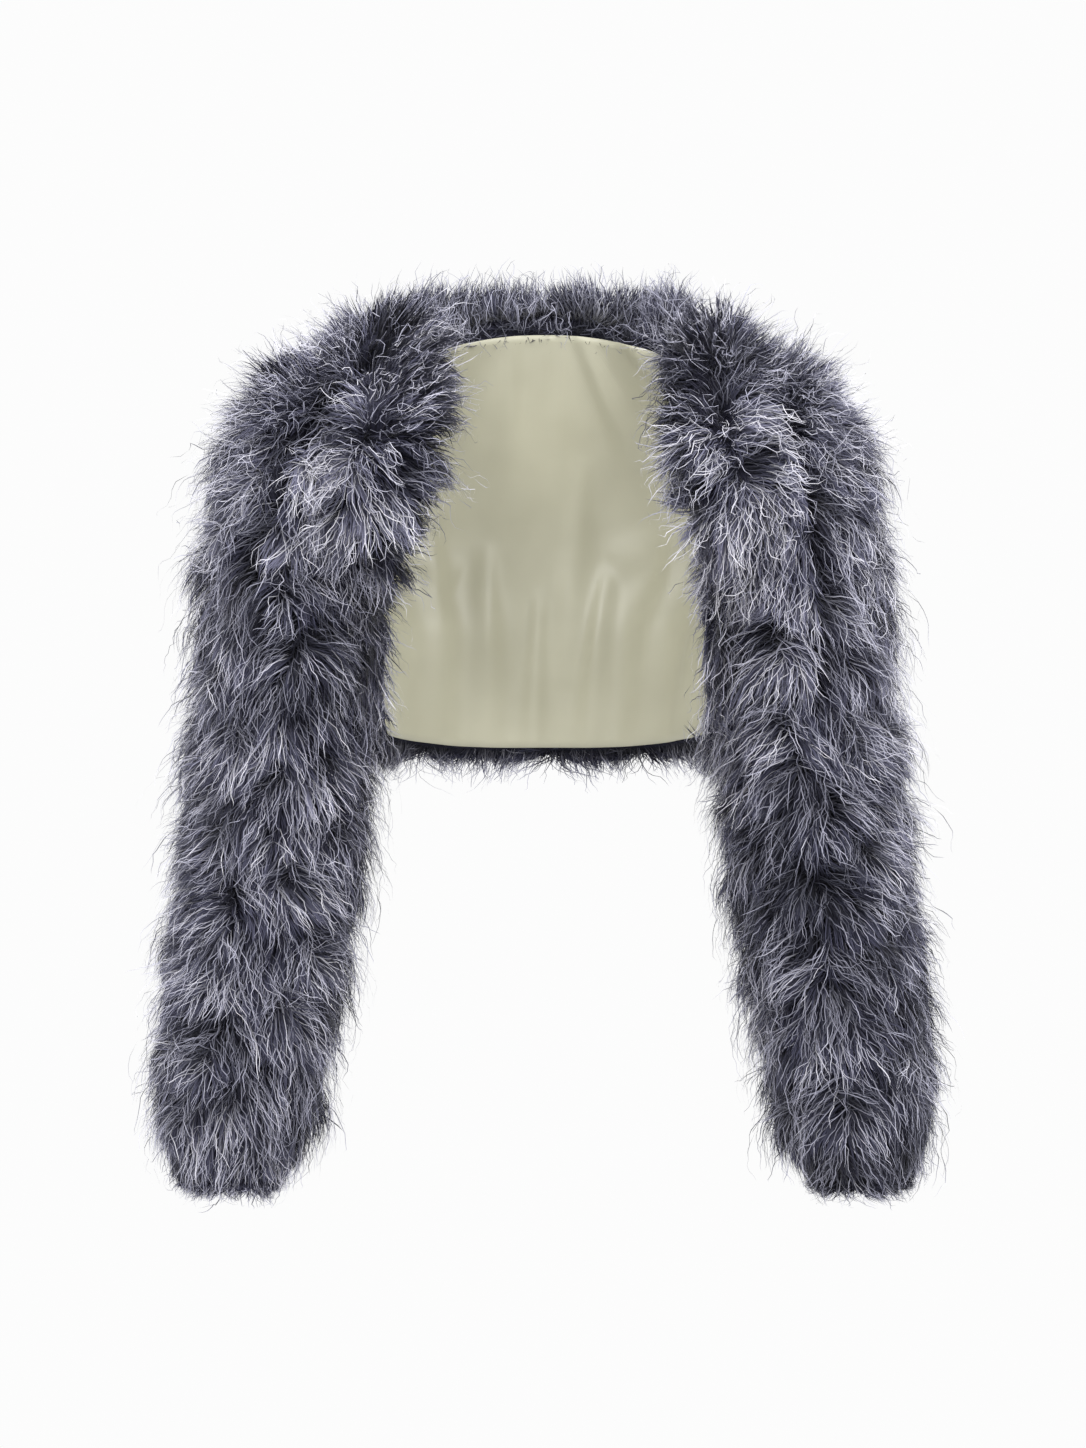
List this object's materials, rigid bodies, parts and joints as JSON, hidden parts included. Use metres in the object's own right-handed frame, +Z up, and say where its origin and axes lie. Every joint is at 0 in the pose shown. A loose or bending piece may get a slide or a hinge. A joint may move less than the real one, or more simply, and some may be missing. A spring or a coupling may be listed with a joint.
{
  "type": "feather bolero",
  "caption": "Short open bolero jacket with long sleeves, deep feather pile outside and a satin lining, kept in its hollow worn form.",
  "frame": {"origin": "the middle of the wearer's shoulder line, level with the top of the shoulders inside the bolero, where it hangs on its wearer", "axes": "+Z up, along the sleeves; +X the wearer's left; -Y the wearer's front"},
  "size_m": [0.6474, 0.2718, 0.7526],
  "materials": {
    "dyed_feathers": "deep soft feather pile, dyed slate blue-grey",
    "cream_satin": "cream satin weave, soft sheen"
  },
  "bodies": {
    "root": {"back": "dyed_feathers", "front_left": "dyed_feathers", "front_right": "dyed_feathers", "sleeve_left": "dyed_feathers", "sleeve_right": "dyed_feathers", "lining_back": "cream_satin", "lining_front_left": "cream_satin", "lining_front_right": "cream_satin", "lining_sleeve_left": "cream_satin", "lining_sleeve_right": "cream_satin"}
  },
  "joints": []
}
